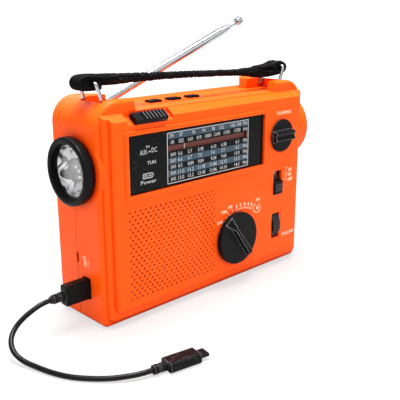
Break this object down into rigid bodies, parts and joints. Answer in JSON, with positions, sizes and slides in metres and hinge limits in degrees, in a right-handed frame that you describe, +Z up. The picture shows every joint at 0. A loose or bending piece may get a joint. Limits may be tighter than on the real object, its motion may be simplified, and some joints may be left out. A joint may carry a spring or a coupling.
{
  "type": "hand crank radio",
  "caption": "Emergency radio with a side crank generator, torch, tuning dial, speaker grille, telescopic antenna, carry strap and a charging lead plugged into its side.",
  "frame": {"origin": "centre of the case's base, midway between its front and back faces", "axes": "+X to the right seen from the front, +Y from the front to the back, +Z up"},
  "size_m": [0.2889, 0.1348, 0.1959],
  "materials": {
    "case_orange": "satin",
    "dial_black": "satin",
    "dial_brown": "satin",
    "pointer_white": "satin",
    "black_plastic": "satin",
    "clear_lens": "gloss",
    "reflector": "polished",
    "led": "gloss",
    "steel": "satin",
    "chrome": "polished",
    "white_gear": "satin",
    "brass_contact": "satin",
    "circuit_board": "satin",
    "ferrite": "matte",
    "speaker_steel": "satin",
    "speaker_paper": "matte",
    "cell_wrap": "gloss",
    "strap_weave": "matte",
    "cable_rubber": "satin"
  },
  "bodies": {
    "case": {"front_shell": "case_orange", "back_shell": "case_orange", "case_screws": "steel", "battery_cell": "cell_wrap", "battery_contacts": "brass_contact", "dial_panel": "dial_black", "dial_strip": "dial_brown", "dial_cord": "strap_weave", "tuning_capacitor": "white_gear", "band_switch": "black_plastic", "mode_switch": "steel", "volume_control": "black_plastic", "speaker_frame": "speaker_steel", "speaker_cone": "speaker_paper", "speaker_magnet": "ferrite", "lamp_bezel": "black_plastic", "lamp_lens": "clear_lens", "lamp_reflector": "reflector", "lamp_led": "led", "lamp_holder": "black_plastic", "gearbox_frame": "white_gear", "gearbox_plate": "white_gear", "generator": "steel", "lamp_switch": "steel", "button_board": "circuit_board", "main_board": "circuit_board", "ferrite_rod": "ferrite", "output_socket": "steel", "input_socket": "steel", "antenna_stud": "steel"},
    "tuning": {"tuning_knob": "black_plastic", "tuning_shaft": "steel"},
    "pointer": {"dial_pointer": "pointer_white"},
    "pulley": {"dial_pulley": "white_gear"},
    "band": {"band_knob": "black_plastic"},
    "mode": {"mode_slider": "black_plastic"},
    "volume": {"volume_wheel": "black_plastic"},
    "torch_switch": {"lamp_slider": "black_plastic"},
    "button_1": {"deck_button_1": "black_plastic"},
    "button_2": {"deck_button_2": "black_plastic"},
    "button_3": {"deck_button_3": "black_plastic"},
    "cell_cover": {"battery_cover": "case_orange"},
    "crank": {"crank_shaft": "steel", "drive_gear": "white_gear", "crank_arm": "black_plastic"},
    "crank_fold": {"crank_stem": "steel"},
    "crank_handle": {"crank_grip": "black_plastic"},
    "idler": {"idler_gear": "white_gear"},
    "rotor": {"rotor_pinion": "white_gear"},
    "left_bail": {"bail_left": "chrome"},
    "right_bail": {"bail_right": "chrome"},
    "strap": {"carry_strap": "strap_weave"},
    "antenna_base": {"antenna_fork": "chrome"},
    "antenna_outer": {"antenna_tube_1": "chrome"},
    "antenna_middle": {"antenna_tube_2": "chrome"},
    "antenna_inner": {"antenna_tip": "chrome"},
    "lead": {"plug_body": "black_plastic", "plug_shell": "steel", "lead_cable": "cable_rubber", "far_connector": "black_plastic"}
  },
  "joints": [
    {"name": "tuning_turn", "type": "hinge", "parent": "case", "child": "tuning", "pos_m": [0.0691, -0.02, 0.1078], "axis": [0, 1, 0], "range_deg": [-125, 515]},
    {"name": "pointer_travel", "type": "slide", "parent": "case", "child": "pointer", "axis": [1, 0, 0], "range_m": [-0.0145, 0.059]},
    {"name": "pulley_turn", "type": "hinge", "parent": "case", "child": "pulley", "pos_m": [-0.07, -0.022, 0.1078], "axis": [0, 1, 0], "range_deg": [-130, 520]},
    {"name": "band_turn", "type": "hinge", "parent": "case", "child": "band", "pos_m": [0.0183, -0.02, 0.0366], "axis": [0, 1, 0], "range_deg": [-30, 150]},
    {"name": "mode_slide", "type": "slide", "parent": "case", "child": "mode", "axis": [0, 0, 1], "range_m": [0, 0.008]},
    {"name": "volume_turn", "type": "hinge", "parent": "case", "child": "volume", "pos_m": [0.0658, -0.0188, 0.0349], "axis": [1, 0, 0], "range_deg": [-40, 230]},
    {"name": "torch_slide", "type": "slide", "parent": "case", "child": "torch_switch", "axis": [1, 0, 0], "range_m": [-0.0045, 0.0045]},
    {"name": "button_1_press", "type": "slide", "parent": "case", "child": "button_1", "axis": [0, 0, -1], "range_m": [0, 0.0007], "stiffness_N_per_m": 250},
    {"name": "button_2_press", "type": "slide", "parent": "case", "child": "button_2", "axis": [0, 0, -1], "range_m": [0, 0.0007], "stiffness_N_per_m": 250},
    {"name": "button_3_press", "type": "slide", "parent": "case", "child": "button_3", "axis": [0, 0, -1], "range_m": [0, 0.0007], "stiffness_N_per_m": 250},
    {"name": "cover_off", "type": "slide", "parent": "case", "child": "cell_cover", "axis": [0, 1, 0], "range_m": [0, 0.04]},
    {"name": "crank_turn", "type": "hinge", "parent": "case", "child": "crank", "pos_m": [0.1, 0, 0.109], "axis": [1, 0, 0], "continuous": true},
    {"name": "idler_turn", "type": "hinge", "parent": "case", "child": "idler", "pos_m": [0.09, 0, 0.0874], "axis": [1, 0, 0], "continuous": true},
    {"name": "rotor_turn", "type": "hinge", "parent": "case", "child": "rotor", "pos_m": [0.088, 0.007, 0.06952], "axis": [1, 0, 0], "continuous": true},
    {"name": "grip_fold", "type": "hinge", "parent": "crank", "child": "crank_fold", "pos_m": [0.119, 0, 0.051], "axis": [0, 1, 0], "range_deg": [0, 90]},
    {"name": "grip_spin", "type": "hinge", "parent": "crank_fold", "child": "crank_handle", "pos_m": [0.119, 0, 0.075], "axis": [0, 0, 1], "continuous": true},
    {"name": "handle_swing", "type": "hinge", "parent": "case", "child": "left_bail", "pos_m": [-0.0871, -0.0045, 0.1445], "axis": [0, 1, 0], "range_deg": [-7, 7]},
    {"name": "right_bail_swing", "type": "hinge", "parent": "case", "child": "right_bail", "pos_m": [0.0833, -0.0045, 0.1445], "axis": [0, 1, 0], "range_deg": [-7.5, 7.5]},
    {"name": "strap_swing", "type": "hinge", "parent": "left_bail", "child": "strap", "pos_m": [-0.09198, -0.0045, 0.15868], "axis": [0, 1, 0], "range_deg": [-7.5, 7.5]},
    {"name": "antenna_swing", "type": "hinge", "parent": "case", "child": "antenna_base", "pos_m": [-0.0837, 0.031, 0.128], "axis": [0, -1, 0], "range_deg": [-21, 130]},
    {"name": "antenna_tilt", "type": "hinge", "parent": "antenna_base", "child": "antenna_outer", "pos_m": [-0.0725, 0.031, 0.1323], "axis": [-0.3584, 0, 0.9336], "range_deg": [0, 85]},
    {"name": "antenna_extend_1", "type": "slide", "parent": "antenna_outer", "child": "antenna_middle", "axis": [0.9336, 0, 0.3584], "range_m": [0, 0.115]},
    {"name": "antenna_extend_2", "type": "slide", "parent": "antenna_middle", "child": "antenna_inner", "axis": [0.9336, 0, 0.3584], "range_m": [0, 0.115]},
    {"name": "plug_pull", "type": "slide", "parent": "case", "child": "lead", "axis": [-1, 0, 0], "range_m": [0, 0.014]}
  ],
  "couplings": [
    {"joint": "pointer_travel", "follows": "tuning_turn", "m_per_rad": 0.0065},
    {"joint": "pulley_turn", "follows": "tuning_turn", "ratio": 1},
    {"joint": "idler_turn", "follows": "crank_turn", "ratio": -3.5},
    {"joint": "rotor_turn", "follows": "crank_turn", "ratio": 10.5},
    {"joint": "right_bail_swing", "follows": "handle_swing", "ratio": 1},
    {"joint": "strap_swing", "follows": "handle_swing", "ratio": -0.9458}
  ]
}
